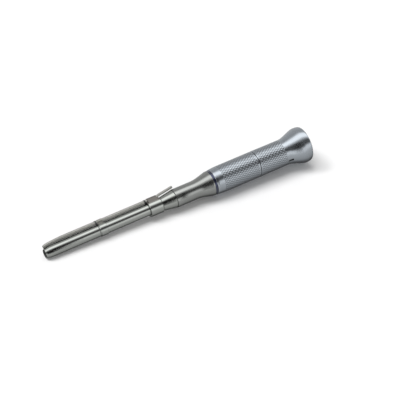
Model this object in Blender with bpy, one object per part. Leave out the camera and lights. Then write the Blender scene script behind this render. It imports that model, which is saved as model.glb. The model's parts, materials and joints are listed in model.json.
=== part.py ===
"""Straight 1:1 surgical handpiece with a twist chuck ring and a clip-on irrigation tube.

Every piece is turned about the X axis. Stations run along that axis in millimetres, from the
nose face at station 0 to the rear rim at OVERALL_LENGTH. +X points to the rear, +Z is up.
"""
import math

import bmesh
import bpy
from mathutils import Matrix, Vector
from mathutils.geometry import interpolate_bezier

MM = 0.001

# ---------------------------------------------------------------- driving dimensions (mm, degrees)
OVERALL_LENGTH = 166.0      # nose face to rear rim
NOSE_RADIUS = 3.33
NOSE_BORE = 2.75
TIP_FACE_RADIUS = 2.55
TIP_TAPER_END = 4.4
NOSE_SEAM = 32.7            # joint between the two nose sleeves
NUT_FRONT = 71.9
NUT_REAR = 80.1
NUT_FRONT_RADIUS = 3.95
NUT_REAR_RADIUS = 5.21
WAIST_RADIUS = 5.33         # straight part of the front housing
FLARE_START = 92.6
FRONT_HOUSING_REAR = 103.5
FLARE_RADIUS = 7.2
RING_FRONT = 104.95         # twist chuck ring
RING_REAR = 132.95
GRIP_RADIUS = 7.7
SLEEVE_FRONT = 133.2        # rear sleeve with the bell
BELL_NECK = 151.5
BELL_NECK_RADIUS = 7.6
BELL_CREST = 163.0
BELL_RADIUS = 10.5
RIM_RADIUS = 9.75
SOCKET_BORE = 6.45          # takes the motor's nose
BELL_BORE = 7.9
BUR_BORE = 1.25             # a 2.35 mm bur shank with clearance
SPINDLE_RADIUS = 3.0

CHUCK_TURN = 40.0           # twist of the chuck ring from closed to open
RELEASE_TRAVEL = 1.2        # the collet moves this far towards the nose as the ring turns
CAM_PIN_STATION = 121.0
CAM_PIN_RADIUS = 0.7
RELEASE_PIN_STATION = 115.2
RELEASE_PIN_RADIUS = 0.6

TUBE_ROLL = 42.0            # the irrigation tube leans this far from +Z towards +Y
TUBE_RADIUS = 1.15
TUBE_BORE = 0.65
TUBE_OFFSET = 4.53          # tube centre line from the tool's axis, along the nose
TUBE_REAR = 81.5
TUBE_NECK = 70.7            # here the tube narrows to the stub that takes the water hose
TIP_LINE = [
    # (station, distance from the axis, size): the swaged front end follows the nose's taper
    (0.3, 3.62, 0.78), (0.6, 3.62, 0.78), (1.4, 3.88, 0.78), (2.3, 4.08, 0.785), (3.3, 4.24, 0.795),
    (4.4, 4.31, 0.81), (6.0, 4.36, 0.85), (9.0, 4.46, 0.94), (12.0, TUBE_OFFSET, 1.0),
]
STUB_SIZE = 0.65            # stub radii as a share of the tube's radii
STUB_LINE = [
    # (station, distance from the axis, size)
    (71.5, 5.02, 0.75), (72.3, 5.27, STUB_SIZE), (75.0, 5.68, STUB_SIZE), (TUBE_REAR, 6.62, STUB_SIZE),
]
COLLAR_RADIUS = 4.53
COLLAR_LUG_WALL = 0.27      # metal round the tube in the clip's lugs
BAND_RADIUS = 3.65
BAND_LUG_WALL = 0.17
KEY_STATION = 152.6         # locating key of the motor coupling, on the -Y side

FIT = 0.05                  # radial gap between pieces that sit in each other

SHELL_SIDES = 32
INNER_SIDES = 24
TUBE_SIDES = 12

MIDDLE = OVERALL_LENGTH / 2.0


def station(s):
    """World x, in metres, of a station in millimetres."""
    return (s - MIDDLE) * MM


# ---------------------------------------------------------------- scene, materials, parents
for old in list(bpy.data.objects):
    bpy.data.objects.remove(old)

FINISHES = {
    # name: (base colour, roughness, metallic)
    "polished_steel": ((0.62, 0.61, 0.58), 0.14, 1.0),
    "satin_steel": ((0.50, 0.52, 0.55), 0.30, 1.0),
    "dull_steel": ((0.42, 0.43, 0.45), 0.45, 1.0),
    "hardened_steel": ((0.30, 0.31, 0.33), 0.35, 1.0),
    "spring_steel": ((0.36, 0.36, 0.38), 0.30, 1.0),
    "bronze": ((0.55, 0.38, 0.20), 0.40, 1.0),
    "blue_anodised": ((0.02, 0.05, 0.22), 0.30, 0.6),
    "black_rubber": ((0.02, 0.02, 0.02), 0.70, 0.0),
}


def make_material(name):
    colour, roughness, metallic = FINISHES[name]
    material = bpy.data.materials.new(name)
    material.use_nodes = True
    shader = material.node_tree.nodes["Principled BSDF"]
    shader.inputs["Base Color"].default_value = (*colour, 1.0)
    shader.inputs["Roughness"].default_value = roughness
    shader.inputs["Metallic"].default_value = metallic
    material.diffuse_color = (*colour, 1.0)
    return material


MATERIALS = {name: make_material(name) for name in FINISHES}


def make_axis(name, s, parent=None):
    """Empty on the tool's axis that carries the pieces of one moving body."""
    axis = bpy.data.objects.new(name, None)
    bpy.context.scene.collection.objects.link(axis)
    axis.empty_display_size = 0.01
    axis.parent = parent
    axis.location = (station(s) - (parent.matrix_world.translation.x if parent else 0.0), 0.0, 0.0)
    bpy.context.view_layer.update()
    return axis


def add_object(name, bm, finish, s, axis, roll=0.0):
    """Object whose mesh is drawn from station s, on the given parent empty."""
    mesh = bpy.data.meshes.new(name)
    bmesh.ops.recalc_face_normals(bm, faces=bm.faces)
    bm.to_mesh(mesh)
    bm.free()
    mesh.shade_smooth()
    mesh.set_sharp_from_angle(angle=math.radians(32.0))
    piece = bpy.data.objects.new(name, mesh)
    bpy.context.scene.collection.objects.link(piece)
    piece.parent = axis
    piece.location = (station(s) - axis.matrix_world.translation.x, 0.0, 0.0)
    piece.rotation_euler = (math.radians(roll), 0.0, 0.0)
    if finish:
        mesh.materials.append(MATERIALS[finish])
    return piece


def as_cutter(piece):
    piece.hide_render = True
    piece.display_type = "WIRE"
    return piece


def boolean(piece, other, operation):
    modifier = piece.modifiers.new(operation.lower(), "BOOLEAN")
    modifier.operation = operation
    modifier.solver = "EXACT"
    modifier.object = other


# ---------------------------------------------------------------- shapes
def turned(name, outline, finish, axis, sides=SHELL_SIDES):
    """Turned piece: a closed outline of (station, radius) points spun about the axis."""
    first = outline[0][0]
    bm = bmesh.new()
    points = [bm.verts.new(((s - first) * MM, 0.0, r * MM)) for s, r in outline]
    edges = [bm.edges.new((points[i - 1], points[i])) for i in range(1, len(points))]
    if outline[0][1] > 0.0 or outline[-1][1] > 0.0:
        edges.append(bm.edges.new((points[-1], points[0])))
    bmesh.ops.spin(
        bm, geom=points + edges, cent=(0.0, 0.0, 0.0), axis=(1.0, 0.0, 0.0),
        angle=2.0 * math.pi, steps=sides, use_merge=True,
    )
    bmesh.ops.remove_doubles(bm, verts=bm.verts, dist=1e-7)
    return add_object(name, bm, finish, first, axis)


def ring(name, front, rear, inner, outer, finish, axis, sides=INNER_SIDES, chamfer=0.0):
    """Plain ring with square inner edges and, where asked for, chamfered outer edges."""
    crown = [(front, outer), (rear, outer)]
    if chamfer:
        edge = outer - chamfer
        crown = [(front, edge), (front + chamfer, outer), (rear - chamfer, outer), (rear, edge)]
    return turned(name, [(front, inner), *crown, (rear, inner)], finish, axis, sides)


def bezier(start, handle_1, handle_2, end, count):
    """Points of an outline along a Bezier curve, both ends included."""
    curve = interpolate_bezier(
        Vector((*start, 0.0)), Vector((*handle_1, 0.0)), Vector((*handle_2, 0.0)), Vector((*end, 0.0)), count,
    )
    return [(point.x, point.y) for point in curve]


def radial_cylinder(name, s, angle, low, high, radius, finish, axis, sides=12):
    """Cylinder that points outwards from the axis, at an angle from +Z about X."""
    bm = bmesh.new()
    bmesh.ops.create_cone(
        bm, cap_ends=True, segments=sides, radius1=radius * MM, radius2=radius * MM,
        depth=(high - low) * MM, matrix=Matrix.Translation((0.0, 0.0, 0.5 * (high + low) * MM)),
    )
    return add_object(name, bm, finish, s, axis, roll=angle)


def slot_cutter(name, start, end, width, low, high, axis):
    """Cutter for a slot in a tube's wall, from one (station, degrees) to another, ends rounded."""
    mean = 0.5 * (low + high)
    run = Vector((end[0] - start[0], math.radians(end[1] - start[1]) * mean))
    length = run.length
    along = run.normalized()
    across = Vector((-along.y, along.x))
    half = width / 2.0
    steps = [-0.97, -0.75, -0.35, 0.0]
    sections = [(t * half, half * math.sqrt(1.0 - t * t)) for t in steps]
    sections += [(length * k / 4.0, half) for k in (1, 2, 3)]
    sections += [(length - t * half, half * math.sqrt(1.0 - t * t)) for t in reversed(steps)]
    bm = bmesh.new()
    rows = []
    for distance, spread in sections:
        row = []
        for side, radius in ((-1, low), (1, low), (1, high), (-1, high)):
            spot = along * distance + across * (side * spread)
            angle = spot.y / mean
            y, z = -radius * math.sin(angle), radius * math.cos(angle)
            row.append(bm.verts.new((spot.x * MM, y * MM, z * MM)))
        rows.append(row)
    for one, two in zip(rows, rows[1:]):
        for k in range(4):
            bm.faces.new((one[k], one[(k + 1) % 4], two[(k + 1) % 4], two[k]))
    bm.faces.new(rows[0])
    bm.faces.new(rows[-1])
    return as_cutter(add_object(name, bm, None, start[0], axis, roll=start[1]))


def swept(name, path, loops, finish, axis):
    """Sweep closed section loops along a path of (station, distance from the axis, size) points.

    One loop gives a solid bar. Two loops, outer then inner, give a tube with open ends.
    """
    first = path[0][0]
    bm = bmesh.new()
    rows = []
    for k, (s, r, size) in enumerate(path):
        before = Vector(path[max(k - 1, 0)][:2])
        after = Vector(path[min(k + 1, len(path) - 1)][:2])
        heading = (after - before).normalized() * size
        row = []
        for loop in loops:
            row.append([
                bm.verts.new(((s - first - heading.y * v) * MM, u * size * MM, (r + heading.x * v) * MM))
                for u, v in loop
            ])
        rows.append(row)
    for one, two in zip(rows, rows[1:]):
        for loop_one, loop_two in zip(one, two):
            count = len(loop_one)
            for k in range(count):
                n = (k + 1) % count
                bm.faces.new((loop_one[k], loop_one[n], loop_two[n], loop_two[k]))
    for end in (rows[0], rows[-1]):
        if len(end) == 1:
            bm.faces.new(end[0])
        else:
            count = len(end[0])
            for k in range(count):
                n = (k + 1) % count
                bm.faces.new((end[0][k], end[0][n], end[1][n], end[1][k]))
    return add_object(name, bm, finish, first, axis, roll=-TUBE_ROLL)


def arc(radius, half_angle, steps):
    """Points of an arc that is centred on the sweep's path and opens towards the tool's axis."""
    angles = [math.radians(half_angle) * (2.0 * k / steps - 1.0) for k in range(steps + 1)]
    return [(radius * math.sin(a), radius * math.cos(a)) for a in angles]


def circle(radius):
    return arc(radius, 180.0, TUBE_SIDES)[:-1]


def bearing(name, front, rear, bore, inner_land, outer_land, outside, balls, root, spindle, cage_axis):
    """Deep-groove ball bearing: outer race, inner race, and a cage that carries the balls."""
    pitch = 0.5 * (inner_land + outer_land)
    ball = 0.5 * (outer_land - inner_land) - 0.04
    middle = 0.5 * (front + rear)
    ring(f"{name}_outer_race", front, rear, outer_land, outside, "hardened_steel", root)
    ring(f"{name}_inner_race", front, rear, bore, inner_land, "hardened_steel", spindle)
    web = 0.45 * ball
    half_width = 0.36 * (rear - front)
    cage = ring(f"{name}_cage", middle - half_width, middle + half_width, pitch - web, pitch + web,
                "bronze", cage_axis)
    for k in range(balls):
        bm = bmesh.new()
        spot = Matrix.Translation((0.0, 0.0, pitch * MM))
        bmesh.ops.create_icosphere(bm, subdivisions=1, radius=ball * MM, matrix=spot)
        sphere = add_object(f"{name}_ball_{k}", bm, None, middle, cage_axis, roll=360.0 * k / balls + 7.5)
        boolean(cage, as_cutter(sphere), "UNION")


# ---------------------------------------------------------------- parent empties, one per body
HOUSING = make_axis("housing_axis", MIDDLE)
CHUCK = make_axis("chuck_ring_axis", RING_FRONT, HOUSING)
RELEASE = make_axis("release_axis", CAM_PIN_STATION, HOUSING)
SPINDLE = make_axis("spindle_axis", 87.0, HOUSING)
COLLET = make_axis("collet_axis", RELEASE_PIN_STATION, SPINDLE)
CLIP = make_axis("clip_axis", 67.6, HOUSING)
CAGES = {name: make_axis(f"{name}_cage_axis", s, HOUSING)
         for name, s in (("front_bearing", 5.2), ("middle_bearing", 88.5), ("rear_bearing", 129.3))}


# ---------------------------------------------------------------- nose
def build_nose():
    spigot = NOSE_BORE + 0.25
    socket = spigot + FIT
    spigot_front = NOSE_SEAM - 5.0
    taper_front, taper_rear = (0.5, TIP_FACE_RADIUS + 0.1), (TIP_TAPER_END, NOSE_RADIUS)
    turned("nose_sleeve_front", [
        (0.0, 2.25), (0.0, TIP_FACE_RADIUS - 0.2), (0.2, TIP_FACE_RADIUS),
        *bezier(taper_front, (1.6, 2.98), (2.9, NOSE_RADIUS), taper_rear, 4),
        (NOSE_SEAM - 0.12, NOSE_RADIUS), (NOSE_SEAM - 0.12, socket),
        (spigot_front - 0.2, socket), (spigot_front - 0.2, NOSE_BORE),
        (3.6, NOSE_BORE), (3.6, 2.25),
    ], "polished_steel", HOUSING)
    turned("nose_sleeve_rear", [
        (spigot_front, NOSE_BORE), (spigot_front, spigot), (NOSE_SEAM + 0.12, spigot),
        (NOSE_SEAM + 0.12, NOSE_RADIUS), (67.0, NOSE_RADIUS), (67.0, 3.0), (68.2, 3.0), (68.2, NOSE_RADIUS),
        (84.4, NOSE_RADIUS), (84.4, 4.45), (86.2, 4.45), (86.2, NOSE_BORE),
    ], "polished_steel", HOUSING)
    ring("nose_seam_ring", NOSE_SEAM - 0.08, NOSE_SEAM + 0.08, spigot + FIT, 3.28, "black_rubber", HOUSING,
         SHELL_SIDES)
    ring("clip_friction_ring", 67.05, 68.15, 3.0 + FIT, NOSE_RADIUS + 0.03, "black_rubber", HOUSING,
         SHELL_SIDES)
    turned("bur_guide", [
        (0.35, 1.75), (0.35, 2.2), (3.3, 2.2), (3.3, BUR_BORE + FIT), (0.8, BUR_BORE + FIT),
    ], "dull_steel", HOUSING)


# ---------------------------------------------------------------- housing
def build_housing():
    turned("nose_nut", [
        (NUT_FRONT, NOSE_RADIUS + 0.07), (NUT_FRONT, NUT_FRONT_RADIUS - 0.15),
        (NUT_FRONT + 0.15, NUT_FRONT_RADIUS), (NUT_REAR - 0.15, NUT_REAR_RADIUS),
        (NUT_REAR, NUT_REAR_RADIUS - 0.1), (NUT_REAR, 4.45), (84.1, 4.45), (84.1, NOSE_RADIUS + 0.07),
    ], "polished_steel", HOUSING)
    front = NUT_REAR + 0.25
    turned("front_housing", [
        (front, 4.55), (front, WAIST_RADIUS - 0.1), (front + 0.15, WAIST_RADIUS),
        *bezier((FLARE_START, WAIST_RADIUS), (96.2, WAIST_RADIUS), (98.8, 6.25),
                (FRONT_HOUSING_REAR, FLARE_RADIUS), 7),
        (FRONT_HOUSING_REAR, 4.8), (94.0, 4.8), (94.0, 4.1), (90.7, 4.1), (90.7, 4.55),
    ], "polished_steel", HOUSING)
    ring("color_ring", 103.7, 104.75, 4.85, 7.25, "blue_anodised", HOUSING, SHELL_SIDES, chamfer=0.12)
    core = turned("core_tube", [
        (94.3, 4.1), (94.3, 4.75), (105.2, 4.75), (105.2, 5.9), (138.0, 5.9), (138.0, 5.2),
        (111.0, 5.2), (111.0, 4.1),
    ], "dull_steel", HOUSING)
    slot_front = CAM_PIN_STATION - RELEASE_TRAVEL - FIT
    for k, angle in enumerate((0.0, 180.0)):
        cutter = slot_cutter(f"core_slot_{k}", (slot_front, angle), (CAM_PIN_STATION + FIT, angle),
                             2.0 * CAM_PIN_RADIUS + 0.2, 4.9, 6.3, HOUSING)
        boolean(core, cutter, "DIFFERENCE")
    ring("glide_ring", 133.0, 133.4, 5.95, 6.75, "black_rubber", HOUSING, SHELL_SIDES)
    turned("rear_lock_nut", [
        (133.6, 5.95), (133.6, 6.8), (139.9, 6.8), (139.9, 6.35), (140.3, 6.35), (140.3, 5.95),
    ], "dull_steel", HOUSING)
    ring("bearing_stop_ring", 126.0, 127.0, 4.5, 5.15, "spring_steel", HOUSING)
    ring("preload_washer", 131.5, 132.0, 4.5, 5.15, "spring_steel", HOUSING)
    ring("bearing_nut", 132.3, 135.5, 3.3, 5.15, "dull_steel", HOUSING)


def build_rear():
    neck = (BELL_NECK, BELL_NECK_RADIUS)
    crest = (BELL_CREST, BELL_RADIUS)
    rim = (OVERALL_LENGTH, RIM_RADIUS)
    sleeve = turned("rear_sleeve", [
        (SLEEVE_FRONT, 6.85), (SLEEVE_FRONT, GRIP_RADIUS - 0.15), (SLEEVE_FRONT + 0.15, GRIP_RADIUS),
        *bezier(neck, (155.2, BELL_NECK_RADIUS), (160.4, BELL_RADIUS), crest, 8),
        *bezier(crest, (164.8, BELL_RADIUS), (166.0, 10.3), rim, 5)[1:],
        (OVERALL_LENGTH, 8.3), (OVERALL_LENGTH - 0.5, BELL_BORE), (158.8, BELL_BORE), (157.4, 6.85),
    ], "satin_steel", HOUSING)
    socket = turned("coupling_socket", [
        (140.4, SOCKET_BORE), (140.4, 6.8), (157.0, 6.8), (157.0, SOCKET_BORE + 0.2),
        (156.7, SOCKET_BORE), (150.4, SOCKET_BORE), (150.4, 6.62), (149.2, 6.62), (149.2, SOCKET_BORE),
    ], "dull_steel", HOUSING)
    window = Matrix.Diagonal((3.4 * MM, 1.35 * MM, 3.6 * MM, 1.0))
    bm = bmesh.new()
    bmesh.ops.create_cube(bm, size=1.0, matrix=Matrix.Translation((0.0, 0.0, 7.6 * MM)) @ window)
    cutter = as_cutter(add_object("key_window", bm, None, KEY_STATION, HOUSING, roll=90.0))
    boolean(sleeve, cutter, "DIFFERENCE")
    boolean(socket, cutter, "DIFFERENCE")
    bm = bmesh.new()
    body = Matrix.Translation((0.0, 0.0, 6.6 * MM)) @ Matrix.Diagonal((3.1 * MM, 1.1 * MM, 1.5 * MM, 1.0))
    bmesh.ops.create_cube(bm, size=1.0, matrix=body)
    bmesh.ops.bevel(bm, geom=list(bm.edges), offset=0.12 * MM, segments=1, affect="EDGES")
    add_object("locating_key", bm, "hardened_steel", KEY_STATION, HOUSING, roll=90.0)


# ---------------------------------------------------------------- chuck ring, release sleeve
def build_chuck():
    turned("chuck_ring", [
        (RING_FRONT, 6.0), (RING_FRONT, 7.15), (RING_FRONT + 0.2, 7.32), (107.5, 7.55), (110.0, GRIP_RADIUS),
        (RING_REAR - 0.15, GRIP_RADIUS), (RING_REAR, GRIP_RADIUS - 0.15), (RING_REAR, 6.75),
        (108.6, 6.75), (108.6, 6.0),
    ], "satin_steel", CHUCK)
    cam = ring("cam_sleeve", 109.0, 130.0, 6.0, 6.7, "hardened_steel", CHUCK, SHELL_SIDES)
    for k, angle in enumerate((0.0, 180.0)):
        cutter = slot_cutter(f"cam_slot_{k}", (CAM_PIN_STATION, angle),
                             (CAM_PIN_STATION - RELEASE_TRAVEL, angle - CHUCK_TURN),
                             2.0 * CAM_PIN_RADIUS + 0.25, 5.7, 7.0, CHUCK)
        boolean(cam, cutter, "DIFFERENCE")


def build_release():
    sleeve = turned("release_sleeve", [
        (117.0, 3.3), (117.0, 5.1), (123.2, 5.1), (123.2, 4.2), (118.4, 4.2), (118.4, 3.3),
    ], "dull_steel", RELEASE, INNER_SIDES)
    for k, angle in enumerate((0.0, 180.0)):
        radial_cylinder(f"cam_pin_{k + 1}", CAM_PIN_STATION, angle, 4.4, 6.6, CAM_PIN_RADIUS,
                        "hardened_steel", RELEASE)
        hole = radial_cylinder(f"cam_pin_hole_{k}", CAM_PIN_STATION, angle, 3.6, 5.6, CAM_PIN_RADIUS + FIT,
                               None, RELEASE)
        boolean(sleeve, as_cutter(hole), "DIFFERENCE")


# ---------------------------------------------------------------- spindle and its draw gear
def build_spindle():
    turned("spindle_nose", [
        (3.7, BUR_BORE), (3.7, 1.6), (6.7, 1.6), (6.7, 2.1), (9.0, 2.4), (36.0, 2.4), (36.0, 1.9),
        (38.3, 1.9), (38.3, BUR_BORE),
    ], "dull_steel", SPINDLE, INNER_SIDES)
    shaft = turned("spindle", [
        (36.3, 1.97), (36.3, 2.45), (90.7, 2.45), (90.7, SPINDLE_RADIUS), (127.0, SPINDLE_RADIUS),
        (127.0, 2.7), (136.0, 2.7), (136.0, 2.2), (92.0, 2.2), (92.0, 1.55), (46.3, 1.55), (40.9, 1.97),
    ], "dull_steel", SPINDLE, INNER_SIDES)
    slot_front = RELEASE_PIN_STATION - RELEASE_TRAVEL - FIT
    for k, angle in enumerate((90.0, 270.0)):
        cutter = slot_cutter(f"spindle_slot_{k}", (slot_front, angle), (RELEASE_PIN_STATION + FIT, angle),
                             2.0 * RELEASE_PIN_RADIUS + 0.2, 1.8, 3.5, SPINDLE)
        boolean(shaft, cutter, "DIFFERENCE")
    ring("spindle_nut", 131.6, 133.3, 2.75, 3.2, "dull_steel", SPINDLE)
    dog = turned("drive_dog", [
        (129.5, 0.0), (129.5, 2.15), (136.2, 2.15), (136.2, 2.75), (142.2, 2.75), (142.5, 2.45), (142.5, 0.0),
    ], "hardened_steel", SPINDLE, INNER_SIDES)
    bm = bmesh.new()
    slot = Matrix.Diagonal((7.0 * MM, 1.7 * MM, 8.0 * MM, 1.0))
    bmesh.ops.create_cube(bm, size=1.0, matrix=slot)
    boolean(dog, as_cutter(add_object("dog_slot", bm, None, 142.5, SPINDLE)), "DIFFERENCE")
    radial_cylinder("dog_pin", 134.7, 90.0, -2.6, 2.6, 0.45, "hardened_steel", SPINDLE, 8)
    pin_hole = as_cutter(radial_cylinder("dog_pin_hole", 134.7, 90.0, -3.2, 3.2, 0.5, None, SPINDLE, 8))
    boolean(dog, pin_hole, "DIFFERENCE")
    boolean(shaft, pin_hole, "DIFFERENCE")


def build_collet():
    grip = BUR_BORE - 0.05
    collet = turned("collet", [
        (40.0, grip), (40.0, 1.9), (40.8, 1.9), (46.2, 1.45), (54.0, 1.45), (54.0, grip),
    ], "hardened_steel", COLLET, INNER_SIDES)
    for k in range(3):
        bm = bmesh.new()
        slit = Matrix.Diagonal((20.0 * MM, 0.25 * MM, 3.6 * MM, 1.0))
        bmesh.ops.create_cube(bm, size=1.0, matrix=Matrix.Translation((0.0, 0.0, 2.0 * MM)) @ slit)
        cutter = as_cutter(add_object(f"collet_slit_{k}", bm, None, 39.0, COLLET, roll=120.0 * k + 3.0))
        boolean(collet, cutter, "DIFFERENCE")
    rod = turned("draw_rod", [
        (54.3, 0.0), (54.3, 1.0), (111.9, 1.0), (111.9, 1.95), (118.0, 1.95), (118.0, 0.0),
    ], "dull_steel", COLLET, INNER_SIDES)
    thrust = ring("thrust_ring", 113.6, 116.8, 3.1, 4.1, "hardened_steel", COLLET)
    radial_cylinder("release_pin", RELEASE_PIN_STATION, 90.0, -4.0, 4.0, RELEASE_PIN_RADIUS,
                    "hardened_steel", COLLET)
    hole = as_cutter(radial_cylinder("release_pin_hole", RELEASE_PIN_STATION, 90.0, -4.6, 4.6,
                                     RELEASE_PIN_RADIUS + FIT, None, COLLET))
    boolean(rod, hole, "DIFFERENCE")
    boolean(thrust, hole, "DIFFERENCE")


def build_spring():
    """Closing spring: a helix of round wire between the spindle's shoulder and the draw rod's head."""
    front, rear, turns = 92.6, 111.3, 9
    wire, coil = 0.25, 1.56
    sections_per_turn, wire_sides = 12, 5
    count = turns * sections_per_turn
    length = rear - front
    bm = bmesh.new()
    rows = []
    for k in range(count + 1):
        angle = 2.0 * math.pi * turns * k / count
        x = length * k / count
        outward = Vector((0.0, math.sin(angle), math.cos(angle)))
        tangent = Vector((length, coil * 2.0 * math.pi * turns * math.cos(angle),
                          -coil * 2.0 * math.pi * turns * math.sin(angle))).normalized()
        side = tangent.cross(outward)
        centre = Vector((x, 0.0, 0.0)) + outward * coil
        row = []
        for w in range(wire_sides):
            turn = 2.0 * math.pi * w / wire_sides
            spread = outward * math.cos(turn) + side * math.sin(turn)
            row.append(bm.verts.new((centre + spread * wire) * MM))
        rows.append(row)
    for one, two in zip(rows, rows[1:]):
        for w in range(wire_sides):
            n = (w + 1) % wire_sides
            bm.faces.new((one[w], one[n], two[n], two[w]))
    bm.faces.new(rows[0])
    bm.faces.new(rows[-1])
    add_object("collet_spring", bm, "spring_steel", front, SPINDLE)


def build_bearings():
    bearing("front_bearing", 4.0, 6.4, 1.65, 1.9, 2.42, 2.7, 8, HOUSING, SPINDLE, CAGES["front_bearing"])
    bearing("middle_bearing", 86.6, 90.4, 2.5, 3.0, 4.0, 4.5, 8, HOUSING, SPINDLE, CAGES["middle_bearing"])
    bearing("rear_bearing", 127.3, 131.2, 2.75, 3.3, 4.5, 5.15, 8, HOUSING, SPINDLE, CAGES["rear_bearing"])


# ---------------------------------------------------------------- irrigation clip
def tube_path(front, rear):
    """Centre line of the irrigation tube between two stations, as (station, offset, size) points."""
    line = [*TIP_LINE, (TUBE_NECK, TUBE_OFFSET, 1.0), *STUB_LINE]
    inside = [point for point in line if front < point[0] < rear]

    def at(s):
        for one, two in zip(line, line[1:]):
            if one[0] <= s <= two[0]:
                share = (s - one[0]) / (two[0] - one[0])
                return (s, one[1] + (two[1] - one[1]) * share, one[2] + (two[2] - one[2]) * share)
        return (s, *line[-1][1:])

    return [at(front), *inside, at(rear)]


def straight_path(front, rear):
    return [(front, TUBE_OFFSET, 1.0), (rear, TUBE_OFFSET, 1.0)]


def tangent_lug():
    """Section of the lug round the tube whose flanks run tangent to the collar."""
    lug = TUBE_RADIUS + COLLAR_LUG_WALL
    tangent = math.acos((COLLAR_RADIUS - lug) / TUBE_OFFSET)
    foot = COLLAR_RADIUS - FIT
    side, height = foot * math.sin(tangent), foot * math.cos(tangent) - TUBE_OFFSET
    return [*arc(lug, math.degrees(tangent), 6), (side, height), (-side, height)]


def upright_section(radius, depth):
    """Round above the tube's centre line, straight down below it."""
    return [*arc(radius, 90.0, 8), (radius, -depth), (-radius, -depth)]


def build_clip():
    bore = NOSE_RADIUS + 0.09
    groove_section = upright_section(TUBE_RADIUS + 0.04, 2.0)
    band_lug = upright_section(TUBE_RADIUS + BAND_LUG_WALL, 1.5)
    for name, front, rear, radius, lug_front, lug in (
        ("clip_collar", 64.0, 71.6, COLLAR_RADIUS, 64.9, tangent_lug()),
        ("clip_band", 33.3, 37.4, BAND_RADIUS, 33.7, band_lug),
    ):
        band = ring(name, front, rear, bore, radius, "polished_steel", CLIP, SHELL_SIDES, chamfer=0.15)
        ear = swept(f"{name}_lug", straight_path(lug_front, rear - 0.9), [lug], None, CLIP)
        boolean(band, as_cutter(ear), "UNION")
        nose = ring(f"{name}_bore", front - 1.0, rear + 1.0, 1.0, bore, None, CLIP, SHELL_SIDES)
        boolean(band, as_cutter(nose), "DIFFERENCE")
        groove = swept(f"{name}_groove", straight_path(front - 1.0, rear + 1.0), [groove_section], None, CLIP)
        boolean(band, as_cutter(groove), "DIFFERENCE")
    swept("irrigation_tube", tube_path(TIP_LINE[0][0], TUBE_REAR), [circle(TUBE_RADIUS), circle(TUBE_BORE)],
          "polished_steel", CLIP)
    cushion = [*arc(TUBE_RADIUS + 0.14, 138.0, 10), *reversed(arc(TUBE_RADIUS + 0.03, 138.0, 10))]
    swept("tube_ring_front", straight_path(32.2, 33.0), [cushion], "black_rubber", CLIP)
    swept("tube_ring_rear", straight_path(62.9, 63.8), [cushion], "black_rubber", CLIP)


build_nose()
build_housing()
build_rear()
build_chuck()
build_release()
build_spindle()
build_collet()
build_spring()
build_bearings()
build_clip()
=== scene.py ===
"""Looks of the straight handpiece: finer turned pieces, knurl, metal materials, light and camera.

Lengths along the tool are stations in millimetres, counted from the nose's front face.
"""

import json
import math

import bmesh
import bpy
from mathutils import Matrix, Vector
from mathutils.geometry import interpolate_bezier


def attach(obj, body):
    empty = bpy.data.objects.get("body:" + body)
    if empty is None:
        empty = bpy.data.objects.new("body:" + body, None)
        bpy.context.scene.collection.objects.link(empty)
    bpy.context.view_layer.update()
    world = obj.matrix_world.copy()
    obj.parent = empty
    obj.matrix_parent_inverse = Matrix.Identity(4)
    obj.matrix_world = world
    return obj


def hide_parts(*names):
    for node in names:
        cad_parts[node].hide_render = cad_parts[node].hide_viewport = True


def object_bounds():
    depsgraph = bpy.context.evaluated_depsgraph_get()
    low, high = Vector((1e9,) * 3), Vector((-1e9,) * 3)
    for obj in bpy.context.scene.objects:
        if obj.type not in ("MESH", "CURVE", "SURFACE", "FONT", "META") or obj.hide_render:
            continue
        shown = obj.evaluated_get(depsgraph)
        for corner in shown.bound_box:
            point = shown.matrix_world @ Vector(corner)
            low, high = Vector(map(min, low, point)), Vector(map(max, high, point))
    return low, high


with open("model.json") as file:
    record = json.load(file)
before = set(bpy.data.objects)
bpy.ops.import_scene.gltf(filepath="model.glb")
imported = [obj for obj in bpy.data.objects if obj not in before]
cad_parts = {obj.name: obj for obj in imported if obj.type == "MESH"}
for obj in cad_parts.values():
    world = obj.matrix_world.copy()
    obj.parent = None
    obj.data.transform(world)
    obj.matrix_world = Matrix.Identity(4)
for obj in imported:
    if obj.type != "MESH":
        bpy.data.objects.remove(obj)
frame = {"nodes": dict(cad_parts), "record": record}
CAD_BOX = [list(corner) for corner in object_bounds()]

MM = 0.001
LENGTH = 166.0                                  # nose face to rear rim, in stations
MIDDLE = LENGTH - CAD_BOX[1][0] / MM            # station of the frame's origin
NOSE_RADIUS = 3.33
GRIP_RADIUS = 7.7
BELL_RADIUS = 10.5
NECK_RADIUS = 7.6
TUBE_ROLL = math.radians(42.0)                  # the tube leans this far from +Z towards +Y
TUBE_RADIUS = 1.15
TUBE_BORE = 0.65
TUBE_OFFSET = 4.53                              # tube's centre line from the tool's axis
STUB_SIZE = 0.65                                # radii of the hose stub as a share of the tube's
SHARP = math.radians(35.0)                      # edges that turn by more than this stay sharp


def station(s):
    return (s - MIDDLE) * MM


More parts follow.
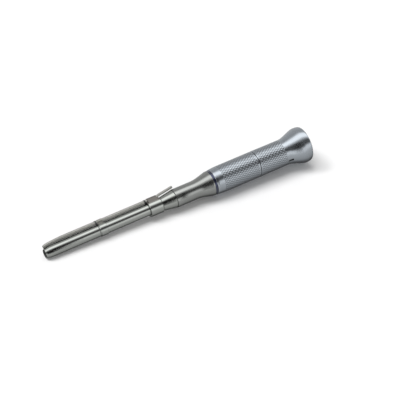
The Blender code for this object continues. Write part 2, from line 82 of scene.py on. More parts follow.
# ---------------------------------------------------------------- materials
class Shader:
    """Small helper that builds one node material on Object coordinates."""

    def __init__(self, name, colour, roughness, metallic=1.0, **sockets):
        self.material = bpy.data.materials.new(name)
        self.material.use_nodes = True
        self.nodes = self.material.node_tree.nodes
        self.links = self.material.node_tree.links
        self.bsdf = self.nodes["Principled BSDF"]
        self.bsdf.inputs["Base Color"].default_value = (*colour, 1.0)
        self.bsdf.inputs["Roughness"].default_value = roughness
        self.bsdf.inputs["Metallic"].default_value = metallic
        for socket, value in sockets.items():
            self.bsdf.inputs[socket.replace("_", " ")].default_value = value
        self.place = self.add("ShaderNodeTexCoord").outputs["Object"]
        self.normal = None

    def add(self, kind, **settings):
        node = self.nodes.new(kind)
        for key, value in settings.items():
            setattr(node, key, value)
        return node

    def noise(self, scale, stretch=(1.0, 1.0, 1.0), detail=2.0, roughness=0.5):
        """Noise value, stretched per axis."""
        mapping = self.add("ShaderNodeMapping")
        mapping.inputs["Scale"].default_value = stretch
        self.links.new(self.place, mapping.inputs["Vector"])
        noise = self.add("ShaderNodeTexNoise")
        noise.inputs["Scale"].default_value = scale
        noise.inputs["Detail"].default_value = detail
        noise.inputs["Roughness"].default_value = roughness
        self.links.new(mapping.outputs["Vector"], noise.inputs["Vector"])
        return noise.outputs["Fac"]

    def remap(self, value, low, high, to_low, to_high):
        node = self.add("ShaderNodeMapRange")
        for socket, number in zip(("From Min", "From Max", "To Min", "To Max"), (low, high, to_low, to_high)):
            node.inputs[socket].default_value = number
        self.links.new(value, node.inputs["Value"])
        return node.outputs["Result"]

    def math(self, operation, one, two):
        node = self.add("ShaderNodeMath", operation=operation)
        for socket, value in zip(node.inputs, (one, two)):
            if isinstance(value, (int, float)):
                socket.default_value = value
            else:
                self.links.new(value, socket)
        return node.outputs[0]

    def mix(self, factor, one, two):
        node = self.add("ShaderNodeMix", data_type="RGBA")
        self.links.new(factor, node.inputs["Factor"])
        for socket, value in ((node.inputs[6], one), (node.inputs[7], two)):
            if isinstance(value, tuple):
                socket.default_value = (*value, 1.0)
            else:
                self.links.new(value, socket)
        return node.outputs[2]

    def bump(self, height, strength, distance):
        node = self.add("ShaderNodeBump")
        node.inputs["Strength"].default_value = strength
        node.inputs["Distance"].default_value = distance
        self.links.new(height, node.inputs["Height"])
        if self.normal is not None:
            self.links.new(self.normal, node.inputs["Normal"])
        self.normal = node.outputs["Normal"]

    def use(self, colour=None, roughness=None):
        if colour is not None:
            self.links.new(colour, self.bsdf.inputs["Base Color"])
        if roughness is not None:
            self.links.new(roughness, self.bsdf.inputs["Roughness"])
        if self.normal is not None:
            self.links.new(self.normal, self.bsdf.inputs["Normal"])
        return self.material


def turned_metal(name, colour, roughness, marks, smudge=0.25, groove=False):
    """Turned metal: rings of fine tool marks round X, cloudy handling smudges, small dings; with groove,
    painted shade in the knurl's grooves.
    """
    shader = Shader(name, colour, roughness)
    rings = shader.noise(900.0, stretch=(6.0, 0.05, 0.05), detail=3.0)
    cloud = shader.noise(70.0, detail=4.0, roughness=0.6)
    speck = shader.noise(1400.0, detail=1.0)
    shade = tuple(0.72 * c for c in colour)
    tone = shader.mix(shader.remap(cloud, 0.35, 0.75, 0.0, smudge), colour, shade)
    tone = shader.mix(shader.remap(speck, 0.66, 0.74, 0.0, 0.2), tone, tuple(0.5 * c for c in colour))
    if groove:
        # Painted shade: the groove attribute darkens the knurl's grooves towards their bottoms.
        depth = shader.add("ShaderNodeAttribute", attribute_name="groove").outputs["Fac"]
        tone = shader.mix(shader.remap(depth, 0.1, 0.9, 0.0, 0.68), tone, tuple(0.25 * c for c in colour))
    gloss = shader.math("ADD", shader.remap(rings, 0.3, 0.7, roughness * 0.8, roughness * 1.25),
                        shader.remap(cloud, 0.4, 0.8, 0.0, 0.07))
    shader.bump(rings, marks, 0.00002)
    return shader.use(tone, gloss)


def plain_metal(name, colour, roughness):
    """Ground or drawn metal of the inner pieces."""
    shader = Shader(name, colour, roughness)
    rings = shader.noise(600.0, stretch=(5.0, 0.08, 0.08), detail=3.0)
    cloud = shader.noise(120.0, detail=3.0)
    tone = shader.mix(shader.remap(cloud, 0.35, 0.7, 0.0, 0.5), colour, tuple(0.7 * c for c in colour))
    shader.bump(rings, 0.25, 0.00002)
    return shader.use(tone, shader.remap(rings, 0.3, 0.7, roughness * 0.8, roughness * 1.2))


def drawn_metal(name, colour, roughness):
    """Drawn tube: dull and even, with faint stains."""
    shader = Shader(name, colour, roughness, metallic=0.6)
    cloud = shader.noise(160.0, detail=4.0)
    tone = shader.mix(shader.remap(cloud, 0.35, 0.7, 0.0, 0.6), colour, tuple(0.75 * c for c in colour))
    return shader.use(tone, shader.remap(cloud, 0.3, 0.7, roughness * 0.9, roughness * 1.15))


def metal_shaded_near_tube(name, colour, roughness, tube_shade_colour):
    """Polished clip that is dull where the tube is brazed on, with painted shade darkening it towards the
    tube.
    """
    shader = Shader(name, colour, roughness)
    split = shader.add("ShaderNodeSeparateXYZ")
    shader.links.new(shader.place, split.inputs["Vector"])
    height = shader.math("ADD", shader.math("MULTIPLY", split.outputs["Y"], math.sin(TUBE_ROLL)),
                         shader.math("MULTIPLY", split.outputs["Z"], math.cos(TUBE_ROLL)))
    # Painted shade: the colour darkens towards the tube's side of the clip.
    tube_shade_mask = shader.remap(height, 2.9 * MM, 3.6 * MM, 0.0, 1.0)
    cloud = shader.noise(260.0, detail=3.0)
    tone = shader.mix(shader.remap(cloud, 0.35, 0.75, 0.0, 0.25), colour, tuple(0.75 * c for c in colour))
    tone = shader.mix(tube_shade_mask, tone, tube_shade_colour)
    return shader.use(tone, shader.remap(tube_shade_mask, 0.0, 1.0, roughness, 0.34))


def anodised(name, colour, roughness):
    """Dyed ring: metallic under a thin clear film, slightly worn and uneven."""
    shader = Shader(name, colour, roughness, metallic=0.85, Coat_Weight=0.9, Coat_Roughness=0.12)
    cloud = shader.noise(260.0, detail=4.0)
    tone = shader.mix(shader.remap(cloud, 0.4, 0.75, 0.0, 0.6), colour, tuple(0.45 * c for c in colour))
    shader.bump(cloud, 0.1, 0.00002)
    return shader.use(tone, shader.remap(cloud, 0.3, 0.7, roughness * 0.8, roughness * 1.3))


def rubber(name, colour, roughness):
    shader = Shader(name, colour, roughness, metallic=0.0)
    grain = shader.noise(2600.0, detail=4.0)
    dust = shader.noise(300.0, detail=3.0)
    tone = shader.mix(shader.remap(dust, 0.5, 0.8, 0.0, 0.5), colour, tuple(2.2 * c + 0.01 for c in colour))
    shader.bump(grain, 0.3, 0.00002)
    return shader.use(tone, shader.remap(dust, 0.3, 0.7, roughness * 0.85, roughness * 1.1))


POLISHED = turned_metal("polished_steel_fine", (0.265, 0.275, 0.262), 0.13, marks=0.10)
TUBE_STEEL = drawn_metal("tube_steel", (0.30, 0.30, 0.28), 0.40)
# The clip collar's steel darkens towards the tube as painted shade.
CLIP_STEEL = metal_shaded_near_tube("clip_steel_shaded_near_tube", (0.265, 0.275, 0.262), 0.13, (0.125, 0.118, 0.11))
HOUSING_STEEL = turned_metal("brushed_front_steel", (0.225, 0.232, 0.225), 0.18, marks=0.12)
# groove=True paints shade into the knurl's grooves.
SATIN = turned_metal("satin_steel_fine", (0.28, 0.303, 0.328), 0.185, marks=0.16, groove=True)
DARK = plain_metal("blackened_steel", (0.05, 0.052, 0.05), 0.45)
DULL = plain_metal("plain_turned_steel", (0.34, 0.35, 0.36), 0.34)
HARD = plain_metal("ground_steel", (0.42, 0.43, 0.45), 0.20)
SPRING = plain_metal("spring_wire", (0.30, 0.30, 0.33), 0.28)
BRONZE = plain_metal("bearing_bronze", (0.48, 0.31, 0.15), 0.32)
BLUE = anodised("dark_blue_anodised", (0.012, 0.02, 0.062), 0.20)
# Painted shade: the locating key is darkened to stand for the shade in the sleeve's window.
KEY_SHADE_STEEL = plain_metal("key_steel_painted_shade", (0.13, 0.135, 0.14), 0.5)
# The front band's steel darkens a little towards the tube as painted shade.
BAND_STEEL = metal_shaded_near_tube("band_steel_shaded_near_tube", (0.265, 0.275, 0.262), 0.13, (0.23, 0.228, 0.208))
RUBBER = rubber("black_elastomer", (0.018, 0.018, 0.02), 0.6)

SLOT_MATERIALS = {
    "polished_steel": POLISHED,
    "satin_steel": SATIN,
    "dull_steel": DULL,
    "hardened_steel": HARD,
    "spring_steel": SPRING,
    "bronze": BRONZE,
    "blue_anodised": BLUE,
    "black_rubber": RUBBER,
}
NODE_SLOTS = {entry["node"]: entry["material_slot"] for entry in frame["record"]["subparts"]}
NODE_BODIES = {node: body for body, nodes in frame["record"]["behaviour"]["bodies"].items() for node in nodes}

for node, piece in frame["nodes"].items():
    piece.data.materials.clear()
    # The locating key gets the darkened painted-shade steel.
    piece.data.materials.append(KEY_SHADE_STEEL if node == "locating_key" else SLOT_MATERIALS[NODE_SLOTS[node]])


# ---------------------------------------------------------------- mesh helpers
def new_object(name, mesh):
    piece = bpy.data.objects.new(name, mesh)
    bpy.context.scene.collection.objects.link(piece)
    return piece


def from_bmesh(name, bm):
    bmesh.ops.recalc_face_normals(bm, faces=bm.faces)
    mesh = bpy.data.meshes.new(name)
    bm.to_mesh(mesh)
    bm.free()
    mesh.shade_smooth()
    mesh.set_sharp_from_angle(angle=SHARP)
    return new_object(name, mesh)


def stand_in(piece, node, material=None, edge=0.0):
    """The piece takes over from a CAD node: same body and slot, edges softened by edge millimetres."""
    piece.data.materials.clear()
    piece.data.materials.append(material or SLOT_MATERIALS[NODE_SLOTS[node]])
    if edge:
        bevel = piece.modifiers.new("edge", "BEVEL")
        bevel.width = edge * MM
        bevel.segments = 3
        bevel.limit_method = "ANGLE"
        bevel.angle_limit = SHARP
        bevel.harden_normals = False
    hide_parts(node)
    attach(piece, NODE_BODIES[node])
    return piece


def bezier(start, handle_1, handle_2, end, count):
    points = interpolate_bezier(
        Vector((*start, 0.0)), Vector((*handle_1, 0.0)), Vector((*handle_2, 0.0)), Vector((*end, 0.0)), count,
    )
    return [(point.x, point.y) for point in points]


def spin(name, outline, sides=96, relief=None):
    """Closed outline of (station, radius) points turned about X; relief sinks points of the surface."""
    bm = bmesh.new()
    # The groove layer keeps the relief's share, which the satin steel uses for painted shade in the knurl's
    # grooves.
    layer = bm.verts.layers.float_color.new("groove") if relief else None
    columns = []
    for k in range(sides):
        angle = 2.0 * math.pi * k / sides
        column = []
        for s, r in outline:
            depth, share = relief(s, r, k / sides) if relief else (0.0, 0.0)
            radius = (r - depth) * MM
            vert = bm.verts.new((station(s), radius * math.sin(angle), radius * math.cos(angle)))
            if layer:
                vert[layer] = (share, share, share, 1.0)
            column.append(vert)
        columns.append(column)
    count = len(outline)
    for k in range(sides):
        one, two = columns[k], columns[(k + 1) % sides]
        for j in range(count):
            n = (j + 1) % count
            bm.faces.new((one[j], one[n], two[n], two[j]))
    if any(r == 0.0 for _, r in outline):
        bmesh.ops.remove_doubles(bm, verts=bm.verts, dist=1e-8)
    return from_bmesh(name, bm)


def cut(piece, cutter, operation="DIFFERENCE"):
    """Applies a Boolean and removes the cutter."""
    modifier = piece.modifiers.new("cut", "BOOLEAN")
    modifier.operation = operation
    modifier.solver = "EXACT"
    modifier.object = cutter
    bpy.context.view_layer.update()
    evaluated = piece.evaluated_get(bpy.context.evaluated_depsgraph_get())
    mesh = bpy.data.meshes.new_from_object(evaluated)
    piece.modifiers.clear()
    piece.data = mesh
    bpy.data.objects.remove(cutter)
    mesh.shade_smooth()
    mesh.set_sharp_from_angle(angle=SHARP)


def block(name, matrix, size):
    """Box of the given size in mm, in place."""
    bm = bmesh.new()
    bmesh.ops.create_cube(bm, size=1.0, matrix=matrix @ Matrix.Diagonal((*[a * MM for a in size], 1.0)))
    return from_bmesh(name, bm)


# ---------------------------------------------------------------- nose
def build_nose():
    seam = 32.7
    tip = [(0.0, 2.25), (0.0, 2.38), (0.06, 2.47), (0.2, 2.55)]
    taper = bezier((0.5, 2.65), (1.6, 2.98), (2.9, NOSE_RADIUS), (4.4, NOSE_RADIUS), 12)
    front = spin("front_nose_tube", [
        *tip, *taper, (seam - 0.12, NOSE_RADIUS), (seam - 0.12, 3.05),
        (seam - 5.2, 3.05), (seam - 5.2, 2.75), (3.6, 2.75), (3.6, 2.25),
    ])
    stand_in(front, "nose_sleeve_front", edge=0.05)
    rear = spin("rear_nose_tube", [
        (seam - 5.0, 2.75), (seam - 5.0, 3.0), (seam + 0.12, 3.0), (seam + 0.12, NOSE_RADIUS),
        (67.0, NOSE_RADIUS), (67.0, 3.0), (68.2, 3.0), (68.2, NOSE_RADIUS),
        (84.4, NOSE_RADIUS), (84.4, 4.45), (86.2, 4.45), (86.2, 2.75),
    ])
    stand_in(rear, "nose_sleeve_rear", edge=0.05)
    seam_ring = spin("nose_joint_gasket", [
        (seam - 0.08, 3.05), (seam - 0.08, 3.25), (seam, 3.28), (seam + 0.08, 3.25), (seam + 0.08, 3.05),
    ])
    stand_in(seam_ring, "nose_seam_ring")
    guide = spin("bur_guide_bush", [
        (0.35, 1.75), (0.35, 2.2), (3.3, 2.2), (3.3, 1.3), (0.8, 1.3),
    ], sides=64)
    stand_in(guide, "bur_guide", DARK, edge=0.04)


# ---------------------------------------------------------------- housing
def build_housing():
    nut = spin("cone_nut", [
        (71.9, 3.40), (71.9, 3.80), (72.05, 3.95), (79.95, 5.19), (80.1, 5.11), (80.1, 4.45),
        (84.1, 4.45), (84.1, 3.40),
    ])
    stand_in(nut, "nose_nut", edge=0.06)
    waist = 5.33
    shell = spin("flared_front_shell", [
        (80.35, 4.55), (80.35, waist - 0.1), (80.5, waist),
        *bezier((92.6, waist), (96.2, waist), (98.8, 6.25), (102.6, 7.12), 22),
        (102.75, 7.17), (102.9, 7.2), (103.5, 7.2), (103.5, 4.8), (94.0, 4.8), (94.0, 4.1), (90.7, 4.1),
        (90.7, 4.55),
    ])
    stand_in(shell, "front_housing", HOUSING_STEEL, edge=0.05)
    ring = spin("dark_blue_band", [
        (103.7, 4.85), (103.7, 7.05),
        *bezier((103.75, 7.12), (103.9, 7.28), (104.55, 7.28), (104.7, 7.12), 7),
        (104.75, 7.05), (104.75, 4.85),
    ])
    stand_in(ring, "color_ring")
    glide = spin("glide_gasket", [(133.0, 5.95), (133.0, 6.75), (133.4, 6.75), (133.4, 5.95)])
    stand_in(glide, "glide_ring", edge=0.05)


# ---------------------------------------------------------------- knurl
KNURLS_AROUND = 31
KNURL_PITCH = 2.15
KNURL_DEPTH = 0.10
KNURL_SAMPLES = 11                              # outline points per pitch
GROOVE_START = 0.56                             # share of the way from a crest to a groove where it starts
RUN_OUT_FRONT = 0.5
RUN_OUT_REAR = 0.7


def knurl(low, high):
    """Relief of crossed V grooves between two stations, running out at both ends."""
    def relief(s, r, turn):
        if not low < s < high or r < GRIP_RADIUS - 0.5:
            return 0.0, 0.0
        run_out = min(1.0, (s - low) / RUN_OUT_FRONT, (high - s) / RUN_OUT_REAR)
        along = (s - low) / KNURL_PITCH
        around = turn * KNURLS_AROUND
        groove = 0.0
        for phase in (along + around, along - around):
            distance = abs(phase - math.floor(phase) - 0.5) * 2.0
            groove = max(groove, (distance - GROOVE_START) / (1.0 - GROOVE_START))
        # share sinks the surface and also sets how much painted shade the groove gets.
        share = run_out * groove
        return KNURL_DEPTH * share, share
    return relief


def rows(low, high, radius):
    """Evenly spaced outline points that carry the knurl."""
    step = KNURL_PITCH / KNURL_SAMPLES
    count = int(round((high - low) / step))
    return [(low + (high - low) * k / count, radius) for k in range(1, count)]


KEY_STATION = 152.6
WINDOW = (3.28, 1.25, 3.6)                      # millimetres: along, across, depth of the cutter


def build_grips():
    low, high = 109.2, 132.5
    ring = spin("knurled_chuck_ring", [
        (104.95, 6.0), (104.95, 7.15), (105.0, 7.22), (105.15, 7.32), (107.0, 7.5),
        (109.0, GRIP_RADIUS - 0.02), (low, GRIP_RADIUS), *rows(low, high, GRIP_RADIUS), (high, GRIP_RADIUS),
        (132.68, GRIP_RADIUS), (132.88, 7.58), (132.95, 7.4), (132.95, 6.75), (108.6, 6.75), (108.6, 6.0),
    ], sides=KNURLS_AROUND * KNURL_SAMPLES, relief=knurl(low, high))
    stand_in(ring, "chuck_ring")

    low, high = 133.6, 151.0
    neck = (151.5, NECK_RADIUS)
    crest = (163.0, BELL_RADIUS)
    fall = GRIP_RADIUS - NECK_RADIUS
    taper = [(s, r - fall * (s - low) / (high - low)) for s, r in rows(low, high, GRIP_RADIUS)]
    sleeve = spin("knurled_rear_sleeve", [
        (133.2, 6.85), (133.2, 7.4), (133.27, 7.58), (133.45, GRIP_RADIUS), (low, GRIP_RADIUS),
        *taper, (high, NECK_RADIUS),
        *bezier(neck, (155.2, NECK_RADIUS), (160.4, BELL_RADIUS), crest, 26),
        *bezier(crest, (164.8, BELL_RADIUS), (166.0, 10.3), (LENGTH, 9.75), 14)[1:],
        (LENGTH, 8.35), (LENGTH - 0.06, 8.28), (LENGTH - 0.5, 7.93), (LENGTH - 0.6, 7.9), (158.8, 7.9),
        (158.6, 7.83), (157.4, 6.85),
    ], sides=KNURLS_AROUND * KNURL_SAMPLES, relief=knurl(low, high))
    turn = Matrix.Rotation(math.radians(90.0), 4, "X")
    window = (Matrix.Translation((station(KEY_STATION), 0.0, 0.0)) @ turn
              @ Matrix.Translation((0.0, 0.0, NECK_RADIUS * MM)))
    cut(sleeve, block("window_cutter", window, WINDOW))
    stand_in(sleeve, "rear_sleeve")
    socket = spin("motor_socket", [
        (140.4, 6.45), (140.4, 6.8), (157.0, 6.8), (157.0, 6.65), (156.7, 6.45), (150.4, 6.45),
        (150.4, 6.62), (149.2, 6.62), (149.2, 6.45),
    ])
    cut(socket, block("socket_cutter", window, WINDOW))
    stand_in(socket, "coupling_socket")


# ---------------------------------------------------------------- drive dog and closing spring
def build_drive():
    dog = spin("fork_drive_dog", [
        (129.5, 0.0), (129.5, 2.05), (129.6, 2.15), (136.2, 2.15), (136.2, 2.75), (142.1, 2.75),
        *bezier((142.2, 2.72), (142.4, 2.62), (142.5, 2.5), (142.5, 2.3), 4), (142.5, 0.0),
    ], sides=64)
    across = Matrix.Translation((station(142.5), 0.0, 0.0))
    cut(dog, block("dog_slot_cutter", across, (7.0, 1.7, 8.0)))
    stand_in(dog, "drive_dog", edge=0.08)


def build_spring():
    """Closing spring of round wire, short enough to clear the draw rod's head at full stroke."""
    front, rear, turns = 92.6, 110.35, 9
    wire, coil = 0.25, 1.56
    per_turn, sides = 24, 10
    bm = bmesh.new()
    rings = []
    for k in range(turns * per_turn + 1):
        angle = 2.0 * math.pi * k / per_turn
        outward = Vector((0.0, math.sin(angle), math.cos(angle)))
        run = coil * 2.0 * math.pi * turns
        tangent = Vector((rear - front, run * math.cos(angle), -run * math.sin(angle))).normalized()
        side = tangent.cross(outward)
        along = front + (rear - front) * k / (turns * per_turn)
        centre = Vector((station(along), 0.0, 0.0)) + outward * coil * MM
        rings.append([
            bm.verts.new(centre + (outward * math.cos(turn) + side * math.sin(turn)) * wire * MM)
            for turn in (2.0 * math.pi * w / sides for w in range(sides))
        ])
    for one, two in zip(rings, rings[1:]):
        for w in range(sides):
            n = (w + 1) % sides
            bm.faces.new((one[w], one[n], two[n], two[w]))
    bm.faces.new(rings[0])
    bm.faces.new(rings[-1])
    stand_in(from_bmesh("wound_closing_spring", bm), "collet_spring")


# ---------------------------------------------------------------- irrigation clip
def tube_line():
    """Tube centre line as (station, distance from the axis, size) points."""
    tip = [(0.3, 3.62, 0.70), (0.38, 3.62, 0.78), (0.6, 3.62, 0.78), (0.9, 3.70, 0.78), (1.4, 3.88, 0.78),
           (2.3, 4.08, 0.785), (3.3, 4.24, 0.795), (4.4, 4.31, 0.81), (6.0, 4.36, 0.85), (9.0, 4.46, 0.94),
           (12.0, TUBE_OFFSET, 1.0)]
    neck = [(70.7, TUBE_OFFSET, 1.0), (71.0, 4.64, 0.97), (71.5, 5.02, 0.75), (71.9, 5.17, 0.6)]
    stub = [(s, r, STUB_SIZE) for s, r in bezier((72.3, 5.27), (73.5, 5.49), (74.5, 5.61), (75.0, 5.68), 6)]
    return [*tip, (30.0, TUBE_OFFSET, 1.0), *neck, *stub,
            (78.3, 6.16, STUB_SIZE), (81.35, 6.6, STUB_SIZE), (81.5, 6.62, 0.9 * STUB_SIZE)]


def straight_line(front, rear):
    return [(front, TUBE_OFFSET, 1.0), (rear, TUBE_OFFSET, 1.0)]


def sweep(name, path, sections):
    """Closed section loops swept along (station, offset, size) points, rolled to the tube's side."""
    bm = bmesh.new()
    rolled = Matrix.Rotation(-TUBE_ROLL, 4, "X")
    spans = []
    for k, (s, r, size) in enumerate(path):
        ahead, behind = path[min(k + 1, len(path) - 1)], path[max(k - 1, 0)]
        heading = (Vector(ahead[:2]) - Vector(behind[:2])).normalized() * size
        spans.append([[
            bm.verts.new(rolled @ Vector((
                station(s - heading.y * v), u * size * MM, (r + heading.x * v) * MM,
            ))) for u, v in loop
        ] for loop in sections])
    for one, two in zip(spans, spans[1:]):
        for a, b in zip(one, two):
            for k in range(len(a)):
                n = (k + 1) % len(a)
                bm.faces.new((a[k], a[n], b[n], b[k]))
    for end in (spans[0], spans[-1]):
        if len(end) == 1:
            bm.faces.new(end[0])
        else:
            for k in range(len(end[0])):
                n = (k + 1) % len(end[0])
                bm.faces.new((end[0][k], end[0][n], end[1][n], end[1][k]))
    return from_bmesh(name, bm)


def arc(radius, half_angle, steps=24):
    """Arc round the tube's centre line, open towards the tool's axis."""
    angles = [math.radians(half_angle) * (2.0 * k / steps - 1.0) for k in range(steps + 1)]
    return [(radius * math.sin(a), radius * math.cos(a)) for a in angles]


def tangent_lug(wall, band_radius):
    """Lug round the tube whose flanks run tangent to the clip's collar."""
    lug = TUBE_RADIUS + wall
    tangent = math.acos((band_radius - lug) / TUBE_OFFSET)
    foot = band_radius - 0.01
    side, height = foot * math.sin(tangent), foot * math.cos(tangent) - TUBE_OFFSET
    return [*arc(lug, math.degrees(tangent)), (side, height), (-side, height)]


def upright_lug(wall):
    """Lug round the tube with straight flanks down to the clip's band."""
    lug = TUBE_RADIUS + wall
    return [*arc(lug, 90.0), (lug, -1.5), (-lug, -1.5)]


BAND_CHAMFER = 0.15
LUG_REAR_STEP = 0.9                             # the lug ends this far before its band does
CUSHION_ARC = 138.0                             # half angle of the rubber round the tube
CUSHION_GAP = 0.03
CUSHION_HEIGHT = 0.14


def build_clip():
    bore = NOSE_RADIUS + 0.09
    groove = TUBE_RADIUS + 0.04
    for name, node, material, front, rear, radius, lug_front, lug in (
        ("clip_sleeve", "clip_collar", CLIP_STEEL, 64.0, 71.6, 4.53, 64.9, tangent_lug(0.27, 4.53)),
        ("clip_front_band", "clip_band", BAND_STEEL, 33.3, 37.4, 3.65, 33.7, upright_lug(0.17)),
    ):
        shoulder = radius - BAND_CHAMFER
        band = spin(name, [(front, 2.0), (front, shoulder), (front + BAND_CHAMFER, radius),
                           (rear - BAND_CHAMFER, radius), (rear, shoulder), (rear, 2.0)])
        cut(band, sweep("lug", straight_line(lug_front, rear - LUG_REAR_STEP), [lug]), "UNION")
        cut(band, spin("bore", [
            (front - 1.0, 1.0), (front - 1.0, bore), (rear + 1.0, bore), (rear + 1.0, 1.0),
        ]))
        channel = [*arc(groove, 90.0), (groove, -2.0), (-groove, -2.0)]
        cut(band, sweep("channel", straight_line(front - 1.0, rear + 1.0), [channel]))
        stand_in(band, node, material, edge=0.05)
    walls = [arc(radius, 180.0, 32)[:-1] for radius in (TUBE_RADIUS, TUBE_BORE)]
    tube = sweep("water_tube", tube_line(), walls)
    stand_in(tube, "irrigation_tube", TUBE_STEEL, edge=0.04)
    # The seals are parts of the model; thin and dark, they also stand for the shade in the gaps at the band's
    # and collar's fronts.
    cushion = [*arc(TUBE_RADIUS + CUSHION_HEIGHT, CUSHION_ARC),
               *reversed(arc(TUBE_RADIUS + CUSHION_GAP, CUSHION_ARC))]
    for name, node, front, rear in (("front_tube_seal", "tube_ring_front", 32.2, 33.0),
                                    ("rear_tube_seal", "tube_ring_rear", 62.9, 63.8)):
        stand_in(sweep(name, straight_line(front, rear), [cushion]), node, edge=0.04)


# ---------------------------------------------------------------- stage, light, camera
# Brightness of what the metal reflects, by angle above the front horizon, in degrees: (angle, brightness)
TENT = [
    (-180, 0.9), (-145, 0.75), (-122, 0.3), (-95, 0.12), (-74, 0.26), (-54, 0.66), (-25, 0.92), (0, 1.12),
    (14, 1.6), (26, 1.75), (37, 0.95), (47, 0.22), (60, 0.17), (73, 0.6), (86, 1.8), (99, 2.9), (110, 2.8),
    (123, 1.5), (137, 0.78), (152, 0.85), (180, 0.9),
]
# Brightness of the dark cards, which only the faces that look forwards reflect: (angle, brightness)
CARD = [(-180, 0.8), (0, 0.7), (10, 0.45), (22, 0.14), (32, 0.02), (180, 0.01)]
TENT_RADIUS = 2.5
# (tent x from, to, shift from, to): towards the front, the dark panel's lower edge comes down by this angle
FORWARD_SHIFT = (-0.02 * TENT_RADIUS, 0.12 * TENT_RADIUS, math.radians(9.0), 0.0)
# (angle from, to, share from, to): the shift fades out across the dark panel
SHIFTED_ANGLES = (math.radians(46.0), math.radians(56.0), 1.0, 0.0)
# (name, world x from, to, distance from the tool's axis, top edge in degrees)
CARDS = [
    ("card_before_flare", -0.028, 0.0095, 0.30, 72.0),
    ("card_before_cone", 0.008, 0.018, 0.30, 52.0),
    ("card_before_nose", -0.100, -0.0695, 0.05, 52.0),
]
CARD_FOOT = 2.0                                 # lower edge in degrees
CARD_STEPS = 12


def reflected_panels(name, levels, shift=None):
    """Emission that depends only on the angle about the tool's axis."""
    material = bpy.data.materials.new(name)
    material.use_nodes = True
    nodes, links = material.node_tree.nodes, material.node_tree.links
    nodes.clear()

    def join(kind, *inputs, **settings):
        node = nodes.new(kind)
        for key, value in settings.items():
            setattr(node, key, value)
        for socket, value in zip(node.inputs, inputs):
            if isinstance(value, (int, float)):
                socket.default_value = value
            else:
                links.new(value, socket)
        return node

    def span(value, limits):
        node = join("ShaderNodeMapRange", value)
        for socket, limit in zip(("From Min", "From Max", "To Min", "To Max"), limits):
            node.inputs[socket].default_value = limit
        return node.outputs["Result"]

    place = nodes.new("ShaderNodeTexCoord").outputs["Object"]
    split = join("ShaderNodeSeparateXYZ", place)
    front = join("ShaderNodeMath", split.outputs["Y"], -1.0, operation="MULTIPLY").outputs[0]
    angle = join("ShaderNodeMath", split.outputs["Z"], front, operation="ARCTAN2").outputs[0]
    if shift:
        amount = join("ShaderNodeMath", span(split.outputs["X"], shift), span(angle, SHIFTED_ANGLES),
                      operation="MULTIPLY").outputs[0]
        angle = join("ShaderNodeMath", angle, amount, operation="ADD").outputs[0]
    curve = nodes.new("ShaderNodeFloatCurve")
    points = curve.mapping.curves[0].points
    top = max(level for _, level in levels)
    spots = [((degrees + 180.0) / 360.0, level / top) for degrees, level in levels]
    points[0].location = spots[0]
    points[1].location = spots[-1]
    for spot in spots[1:-1]:
        points.new(*spot)
    for point in points:
        point.handle_type = "AUTO_CLAMPED"
    curve.mapping.update()
    links.new(span(angle, (-math.pi, math.pi, 0.0, 1.0)), curve.inputs["Value"])
    strength = join("ShaderNodeMath", curve.outputs["Value"], top, operation="MULTIPLY").outputs[0]
    shader = nodes.new("ShaderNodeEmission")
    links.new(strength, shader.inputs["Strength"])
    join("ShaderNodeOutputMaterial", shader.outputs["Emission"])
    material.cycles.emission_sampling = "NONE"
    return material


def only_reflected(piece, material):
    piece.data.materials.append(material)
    piece.visible_camera = False
    piece.visible_diffuse = False
    piece.visible_shadow = False


def card(name, low, high, distance, top):
    """Curved card about the tool's axis, from world x low to high."""
    bm = bmesh.new()
    edges = []
    for k in range(CARD_STEPS + 1):
        turn = math.radians(CARD_FOOT + (top - CARD_FOOT) * k / CARD_STEPS)
        y, z = -distance * math.cos(turn), distance * math.sin(turn)
        edges.append((bm.verts.new((low, y, z)), bm.verts.new((high, y, z))))
    for one, two in zip(edges, edges[1:]):
        bm.faces.new((one[0], one[1], two[1], two[0]))
    return from_bmesh(name, bm)


def build_tent():
    """Light tent seen only in reflections: panels of different brightness round the tool's axis."""
    bm = bmesh.new()
    bmesh.ops.create_uvsphere(bm, u_segments=48, v_segments=32, radius=TENT_RADIUS)
    only_reflected(from_bmesh("light_tent", bm), reflected_panels("tent_panels", TENT, FORWARD_SHIFT))
    dark = reflected_panels("dark_card", CARD)
    for place in CARDS:
        only_reflected(card(*place), dark)


FLOOR_GAP = 0.03                                # millimetres under the bell
FLOOR_HALF_SIZE = 4.0                           # metres


def build_floor():
    """Pale floor that touches the bell's crest and the nose."""
    rear, front = station(163.0), station(5.0)
    slope = math.atan2((BELL_RADIUS - NOSE_RADIUS) * MM, rear - front)
    bm = bmesh.new()
    bmesh.ops.create_grid(bm, x_segments=1, y_segments=1, size=FLOOR_HALF_SIZE)
    floor = from_bmesh("floor", bm)
    under_bell = Matrix.Translation((rear, 0.0, -(BELL_RADIUS + FLOOR_GAP) * MM))
    floor.matrix_world = under_bell @ Matrix.Rotation(slope, 4, "Y")
    shader = Shader("pale_floor", (0.86, 0.86, 0.86), 0.6, metallic=0.0, Specular_IOR_Level=0.2)
    grain = shader.noise(40.0, detail=4.0)
    tone = shader.mix(grain, (0.85, 0.85, 0.855), (0.87, 0.87, 0.868))
    floor.data.materials.append(shader.use(tone))
    floor.visible_glossy = False


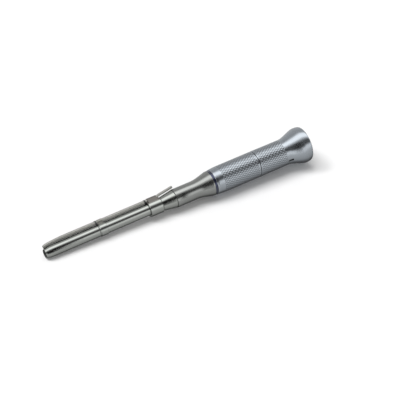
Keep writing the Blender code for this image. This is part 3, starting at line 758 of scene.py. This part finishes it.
# (name, strength, spread in degrees, direction)
SUNS = [
    ("overhead_soft", 1.45, 28.0, (0.14, -0.12, -1.0)),
    ("left_side", 1.2, 18.0, (0.52, -0.46, -1.0)),
]


WORLD_LIGHT = 0.46
WORLD_BACKDROP = 0.95                           # what the camera sees beyond the floor


def build_light():
    world = bpy.data.worlds.new("studio")
    bpy.context.scene.world = world
    world.use_nodes = True
    nodes, links = world.node_tree.nodes, world.node_tree.links
    background = nodes["Background"]
    background.inputs["Color"].default_value = (1.0, 1.0, 1.0, 1.0)
    rays = nodes.new("ShaderNodeLightPath")
    level = nodes.new("ShaderNodeMapRange")
    level.inputs["To Min"].default_value = WORLD_LIGHT
    level.inputs["To Max"].default_value = WORLD_BACKDROP
    links.new(rays.outputs["Is Camera Ray"], level.inputs["Value"])
    links.new(level.outputs["Result"], background.inputs["Strength"])
    for name, energy, spread, direction in SUNS:
        data = bpy.data.lights.new(name, "SUN")
        data.energy = energy
        data.angle = math.radians(spread)
        sun = new_object(name, data)
        sun.rotation_euler = Vector(direction).to_track_quat("-Z", "Y").to_euler()
        sun.visible_glossy = False


CAMERA_AZIMUTH = -31.0
CAMERA_ELEVATION = 45.5
CAMERA_DISTANCE = 1.0
CAMERA_LENS = 162.8
CAMERA_AIM = (0.00966, -0.00747, -0.00094)


def build_camera():
    data = bpy.data.cameras.new("camera")
    data.lens = CAMERA_LENS
    data.sensor_width = 36.0
    data.clip_start = 0.01
    camera = new_object("camera", data)
    azimuth, elevation = math.radians(CAMERA_AZIMUTH), math.radians(CAMERA_ELEVATION)
    back = Vector((math.sin(azimuth) * math.cos(elevation), -math.cos(azimuth) * math.cos(elevation),
                   math.sin(elevation)))
    camera.location = Vector(CAMERA_AIM) + back * CAMERA_DISTANCE
    camera.rotation_euler = back.to_track_quat("Z", "Y").to_euler()
    bpy.context.scene.camera = camera
    bpy.context.scene.view_settings.view_transform = "Standard"


build_nose()
build_housing()
build_grips()
build_drive()
build_spring()
build_clip()
build_floor()
build_tent()
build_light()
build_camera()
